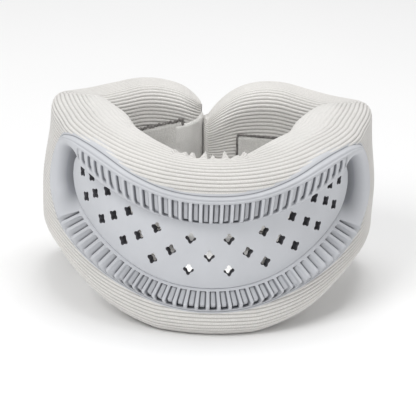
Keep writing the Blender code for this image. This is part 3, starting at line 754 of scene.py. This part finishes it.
def end_facing(look):
    """Smooth webbing that wraps the left wing's end, where the closure strap is sewn in."""
    tip = REAR_S - GAP_SIDE_SHIFT - 0.5 * MM
    start = tip - NOSE_LENGTH
    angles = np.radians(np.linspace(0, 86, 26))
    half = PAD_THICKNESS / 2
    s_path = np.concatenate([np.linspace(start - 3.5 * MM, start, 6)[:-1],
                             start + NOSE_LENGTH * np.sin(angles)])
    d_path = np.concatenate([np.full(5, -2 * half), -half - half * np.cos(angles)])
    z_line = np.linspace(FACING_LOW, FACING_HIGH, 48)
    along = np.gradient(s_path)
    inward = np.gradient(d_path)
    size = np.hypot(along, inward)
    out_s, out_d = inward / size, -along / size
    layers = []
    for gap in (1.7 * MM, 0.2 * MM):
        edge = np.clip(np.minimum(z_line - z_line[0], z_line[-1] - z_line) / (1.5 * MM), 0, 1)
        offset = 0.2 * MM + (gap - 0.2 * MM) * np.sqrt(edge)[None, :]
        offset = offset + 0.25 * MM * waves(11, s_path[:, None], z_line[None, :] / (40 * MM), 25 * MM)
        s = -(s_path[:, None] + out_s[:, None] * offset)
        d = d_path[:, None] + out_d[:, None] * offset
        climb = np.linspace(0, 1, len(s_path))[:, None] * (z_line - z_line[0])[None, :]
        climb = climb / (z_line[-1] - z_line[0])
        layers.append(place(s, z_line[None, :] + 4 * MM * (climb - 1) + 4 * MM, d))
    points = np.concatenate([layers[0], layers[1][:, ::-1]], 1)
    rows, columns = points.shape[:2]
    faces = grid_faces(rows, columns, wrap_columns=True).tolist()
    faces.append(list(range(columns)))
    faces.append([(rows - 1) * columns + i for i in range(columns)][::-1])
    made = mesh_object("strap_end_facing", points, faces, look)
    fix_normals(made)
    path_length(-s_path, d_path)
    return made


# ---------------------------------------------------------------- materials

class Look:
    """A new material and short ways to add nodes to it."""

    def __init__(self, name, roughness):
        self.material = bpy.data.materials.new(name)
        self.material.use_nodes = True
        self.nodes = self.material.node_tree.nodes
        self.links = self.material.node_tree.links
        self.shader = self.nodes["Principled BSDF"]
        self.shader.inputs["Roughness"].default_value = roughness

    def link(self, out_socket, in_socket):
        self.links.new(out_socket, in_socket)

    def math(self, operation, first, second=None):
        node = self.nodes.new("ShaderNodeMath")
        node.operation = operation
        for i, value in enumerate((first, second)):
            if value is None:
                continue
            if isinstance(value, (int, float)):
                node.inputs[i].default_value = value
            else:
                self.link(value, node.inputs[i])
        return node.outputs[0]

    def ramp(self, factor, stops):
        node = self.nodes.new("ShaderNodeValToRGB")
        elements = node.color_ramp.elements
        while len(elements) < len(stops):
            elements.new(0.5)
        for element, (position, colour) in zip(elements, stops):
            element.position = position
            element.color = (*colour, 1.0)
        self.link(factor, node.inputs[0])
        return node.outputs[0]

    def noise(self, scale, detail=3.0, vector=None):
        node = self.nodes.new("ShaderNodeTexNoise")
        node.inputs["Scale"].default_value = scale
        node.inputs["Detail"].default_value = detail
        self.link(vector or self.place(), node.inputs["Vector"])
        return node.outputs[0]

    def place(self):
        return self.nodes.new("ShaderNodeTexCoord").outputs["Object"]

    def uv(self):
        split = self.nodes.new("ShaderNodeSeparateXYZ")
        self.link(self.nodes.new("ShaderNodeTexCoord").outputs["UV"], split.inputs[0])
        return split.outputs[0], split.outputs[1]

    def colour(self, socket):
        self.link(socket, self.shader.inputs["Base Color"])

    def bump(self, height_socket, distance, strength=1.0, below=None):
        node = self.nodes.new("ShaderNodeBump")
        node.inputs["Distance"].default_value = distance
        node.inputs["Strength"].default_value = strength
        self.link(height_socket, node.inputs["Height"])
        if below is not None:
            self.link(below, node.inputs["Normal"])
        self.link(node.outputs[0], self.shader.inputs["Normal"])
        return node.outputs[0]


def knit_look():
    """Rib knit: pale rib crowns, valleys darkened with painted shade, and fine slanted stitches across each
    rib.
    """
    look = Look("rib_knit", 0.92)
    along, ribs = look.uv()
    phase = look.math("FRACT", ribs)
    off_centre = look.math("ABSOLUTE", look.math("SUBTRACT", phase, 0.5))
    # The groove attribute here is the share by which the ribs are pulled flat; it fades the painted valley
    # shade.
    faint = look.nodes.new("ShaderNodeAttribute")
    faint.attribute_name = "groove"
    off_centre = look.math("MULTIPLY", off_centre, look.math("SUBTRACT", 1.0, faint.outputs["Fac"]))
    # Painted shade: rib valleys darker than the crowns.
    crown_and_valley_shade = look.ramp(off_centre, [(0.0, (0.75, 0.735, 0.71)), (0.28, (0.71, 0.695, 0.67)),
                                   (0.42, (0.58, 0.565, 0.54)), (0.5, (0.44, 0.425, 0.405))])
    slant = look.math("ADD", look.math("MULTIPLY", along, 11.0), look.math("MULTIPLY", off_centre, 1.6))
    stitch = look.math("SINE", look.math("MULTIPLY", slant, 2 * math.pi))
    speckle = look.noise(900.0, 2.0)
    mottle = look.noise(38.0, 3.0)
    mix = look.nodes.new("ShaderNodeMix")
    mix.data_type = "RGBA"
    mix.blend_type = "MULTIPLY"
    mix.inputs[0].default_value = 1.0
    patchy = look.math("ADD", look.math("MULTIPLY", speckle, 0.6), look.math("MULTIPLY", mottle, 0.4))
    shade = look.ramp(patchy, [(0.3, (0.90, 0.90, 0.90)), (0.7, (1.03, 1.03, 1.03))])
    look.link(crown_and_valley_shade, mix.inputs[6])
    look.link(shade, mix.inputs[7])
    look.colour(mix.outputs[2])
    height_value = look.math("ADD", look.math("MULTIPLY", stitch, 0.35), speckle)
    look.bump(height_value, 0.00016, 0.8)
    look.shader.inputs["Sheen Weight"].default_value = 0.25
    look.shader.inputs["Sheen Roughness"].default_value = 0.6
    look.shader.inputs["Specular IOR Level"].default_value = 0.25
    return look.material


def shell_look(name, light, dark):
    """Matte elastomer with a faint moulded grain, and painted shade in its grooves, pockets, creases and
    gutters.
    """
    look = Look(name, 0.5)
    groove = look.nodes.new("ShaderNodeAttribute")
    groove.attribute_name = "groove"
    deepest_shade = tuple(c * 0.42 for c in dark)
    # Painted shade: the groove attribute runs the colour from light through dark to the deepest shade.
    base = look.ramp(groove.outputs["Fac"], [(0.0, light), (0.45, dark), (1.0, deepest_shade)])
    mix = look.nodes.new("ShaderNodeMix")
    mix.data_type = "RGBA"
    mix.blend_type = "MULTIPLY"
    mix.inputs[0].default_value = 1.0
    shade = look.ramp(look.noise(55.0, 4.0), [(0.3, (0.965, 0.965, 0.965)), (0.7, (1.02, 1.02, 1.02))])
    look.link(base, mix.inputs[6])
    look.link(shade, mix.inputs[7])
    look.colour(mix.outputs[2])
    rough = look.ramp(look.noise(420.0, 2.0), [(0.3, (0.44, 0.44, 0.44)), (0.7, (0.58, 0.58, 0.58))])
    look.link(rough, look.shader.inputs["Roughness"])
    look.bump(look.noise(1500.0, 2.0), 0.00006, 0.5)
    look.shader.inputs["Specular IOR Level"].default_value = 0.4
    return look.material


def fleece_look(name, light, dark, fibre=1400.0, sheen=0.4):
    """Brushed fleece or smooth tape: short directionless fibres and a soft mottle."""
    look = Look(name, 0.95)
    fibres = look.noise(fibre, 3.0)
    mottle = look.noise(70.0, 4.0)
    blend = look.math("ADD", look.math("MULTIPLY", fibres, 0.45), look.math("MULTIPLY", mottle, 0.55))
    look.colour(look.ramp(blend, [(0.35, dark), (0.62, light)]))
    look.bump(look.math("ADD", fibres, look.math("MULTIPLY", mottle, 0.8)), 0.0004, 0.7)
    look.shader.inputs["Sheen Weight"].default_value = sheen
    look.shader.inputs["Specular IOR Level"].default_value = 0.2
    return look.material


def thread_look():
    """Dark sewn binding, uneven along its length."""
    look = Look("dark_binding", 0.85)
    along = look.noise(600.0, 2.0)
    look.colour(look.ramp(along, [(0.35, (0.10, 0.095, 0.09)), (0.65, (0.22, 0.21, 0.20))]))
    look.bump(along, 0.0003, 0.8)
    return look.material


def hook_look():
    """Hook tape: rows of tiny moulded hooks."""
    look = Look("hook_rows", 0.6)
    cells = look.nodes.new("ShaderNodeTexVoronoi")
    cells.inputs["Scale"].default_value = 1300.0
    look.link(look.place(), cells.inputs["Vector"])
    look.colour(look.ramp(cells.outputs["Distance"], [(0.1, (0.62, 0.62, 0.61)), (0.6, (0.36, 0.36, 0.35))]))
    look.bump(cells.outputs["Distance"], 0.0005, 0.9)
    return look.material


def floor_look():
    """Plain pale floor."""
    look = Look("studio_floor", 0.9)
    look.colour(look.ramp(look.noise(3.0, 2.0), [(0.3, (0.93, 0.93, 0.93)), (0.7, (0.95, 0.95, 0.95))]))
    look.shader.inputs["Specular IOR Level"].default_value = 0.1
    return look.material


# ---------------------------------------------------------------- pieces

def build_covers(knit):
    """The knit cover of the front and of both wings, and the sewn edge round the vent window."""
    step = 1.7 * MM
    count = int(2 * COVER_JOIN / step)
    front = knit_cover("front_knit_cover", np.linspace(-COVER_JOIN, COVER_JOIN, count), knit,
                       keep=outside_shell, dents=under_shell)
    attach(front, "front")
    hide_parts("chin_roll_cover", "chin_roll_foam", "chest_roll_cover", "chest_roll_foam",
                "left_side_pad_cover", "left_side_pad_foam", "right_side_pad_cover",
                "right_side_pad_foam")
    window = window_binding(knit)
    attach(window, "front")
    for side, word in ((-1, "left"), (1, "right")):
        stretch = np.linspace(COVER_JOIN, REAR_S + 4 * MM, int((REAR_S - COVER_JOIN) / step))
        wing = knit_cover(word + "_knit_cover", side * stretch, knit, nose_side=side,
                          dents=under_shell)
        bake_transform(wing)
        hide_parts(word + "_wing_cover", word + "_wing_foam")


def build_shell():
    """The elastomer shell: one moulding for its frame and one for its perforated panel."""
    # The second colour is the painted shade for the frame's grooves; the panel has no groove attribute and
    # shows only the first.
    shell = shell_look("cool_elastomer", (0.56, 0.572, 0.60), (0.22, 0.228, 0.25))
    panel_look = shell_look("panel_elastomer_skin", (0.565, 0.578, 0.606), (0.22, 0.228, 0.25))
    frame_piece = shell_frame(shell)
    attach(frame_piece, "front")
    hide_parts("shell_bezel", "upper_flex_strip", "lower_flex_strip", "rim_piping")
    panel = vent_panel(panel_look)
    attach(panel, "front")
    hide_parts("vent_panel")


def build_linings():
    """A fleece patch with a dark binding inside each wing."""
    fleece = fleece_look("brushed_lining_fleece", (0.70, 0.69, 0.665), (0.52, 0.51, 0.49))
    thread = thread_look()
    face = -PAD_THICKNESS - 0.2 * MM
    start, end = LINING_START, REAR_S - LINING_REAR_GAP
    low, high = LINING_LOW, LINING_HIGH
    for side, word, rise, ragged in ((-1, "left", LEFT_LINING_RISE, 0.6), (1, "right", 0.0, 0.1)):
        patch = sheet_piece(word + "_lining_patch", (side * start, side * end), (low, high),
                            (face - 1.3 * MM, face + 0.5 * MM), fleece, rise=rise)
        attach(patch, word + "_wing")
        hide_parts(word + "_wing_lining")
        edge = stitched_edge(word + "_patch_binding", (side * start, side * end), (low, high),
                             face - 0.6 * MM, thread, ragged, rise)
        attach(edge, word + "_wing")
        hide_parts(word + "_lining_binding")
        width = path_length(np.linspace(start, end, 60), np.full(60, face))


def build_closure():
    """The facing on the left wing's end, and materials for the strap and its patches."""
    strap_look = fleece_look("brushed_strap", (0.72, 0.71, 0.685), (0.62, 0.61, 0.59), 2200.0, 0.5)
    facing = end_facing(strap_look)
    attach(facing, "left_wing")
    thread = thread_look()
    for node, look in (("closure_strap", strap_look), ("strap_anchor", strap_look),
                       ("hook_patch", hook_look()), ("loop_patch", strap_look),
                       ("strap_end_tab", thread)):
        obj = frame["nodes"][node]
        obj.data.materials.clear()
        obj.data.materials.append(look)


def build_stage():
    """A wide floor under the collar."""
    size = 3.0
    mesh = bpy.data.meshes.new("floor")
    mesh.from_pydata([(-size, -size, 0), (size, -size, 0), (size, size, 0), (-size, size, 0)], [],
                     [(0, 1, 2, 3)])
    floor = bpy.data.objects.new("floor", mesh)
    bpy.context.scene.collection.objects.link(floor)
    floor.data.materials.append(floor_look())


def area_light(name, place_at, aim, size, power):
    light = bpy.data.lights.new(name, "AREA")
    light.shape = "SQUARE"
    light.size = size
    light.energy = power
    lamp = bpy.data.objects.new(name, light)
    lamp.location = place_at
    lamp.rotation_euler = (Vector(aim) - Vector(place_at)).to_track_quat("-Z", "Y").to_euler()
    bpy.context.scene.collection.objects.link(lamp)


def build_lights():
    """Soft studio light from the left and above, a faint fill, and a pale surround."""
    centre = (0.0, 0.0, 0.05)
    area_light("key_left", (-0.7, -0.9, 1.1), centre, 0.7, 9.5)
    area_light("top_soft", (0.1, 0.2, 1.5), centre, 0.8, 9.0)
    area_light("fill_right", (1.0, -0.8, 0.5), centre, 1.0, 2.0)
    # A narrow soft lamp from straight above lightens the floor inside the neck opening.
    lamp = bpy.data.lights.new("neck_lamp", "SPOT")
    lamp.energy = 26.0
    lamp.spot_size = math.radians(4.8)
    lamp.spot_blend = 0.8
    lamp.shadow_soft_size = 0.03
    above = bpy.data.objects.new("neck_lamp", lamp)
    above.location = (0.0, 0.012, 1.2)
    bpy.context.scene.collection.objects.link(above)
    world = bpy.data.worlds.new("studio")
    world.use_nodes = True
    world.node_tree.nodes["Background"].inputs[0].default_value = (1.0, 1.0, 1.0, 1.0)
    world.node_tree.nodes["Background"].inputs[1].default_value = 0.5
    bpy.context.scene.world = world
    bpy.context.scene.view_settings.view_transform = "Standard"


def build_camera():
    """Camera nearly in front and about twenty degrees above, slightly rolled."""
    azimuth, elevation, roll, distance = (math.radians(-1.0), math.radians(20), math.radians(2.2), 1.3)
    target = Vector((0.0, SEAM_Y, 0.0357))
    back = Vector((math.sin(azimuth) * math.cos(elevation), -math.cos(azimuth) * math.cos(elevation),
                   math.sin(elevation)))
    data = bpy.data.cameras.new("camera")
    data.sensor_width = 36.0
    data.lens = 203.0
    data.clip_end = 20.0
    camera = bpy.data.objects.new("camera", data)
    camera.location = target + back * distance
    look = (-back).to_track_quat("-Z", "Y").to_matrix()
    camera.rotation_euler = look.to_euler()
    camera.rotation_euler.rotate_axis("Z", roll)
    bpy.context.scene.collection.objects.link(camera)
    bpy.context.scene.camera = camera


build_covers(knit_look())
build_shell()
build_linings()
build_closure()
build_stage()
build_lights()
build_camera()
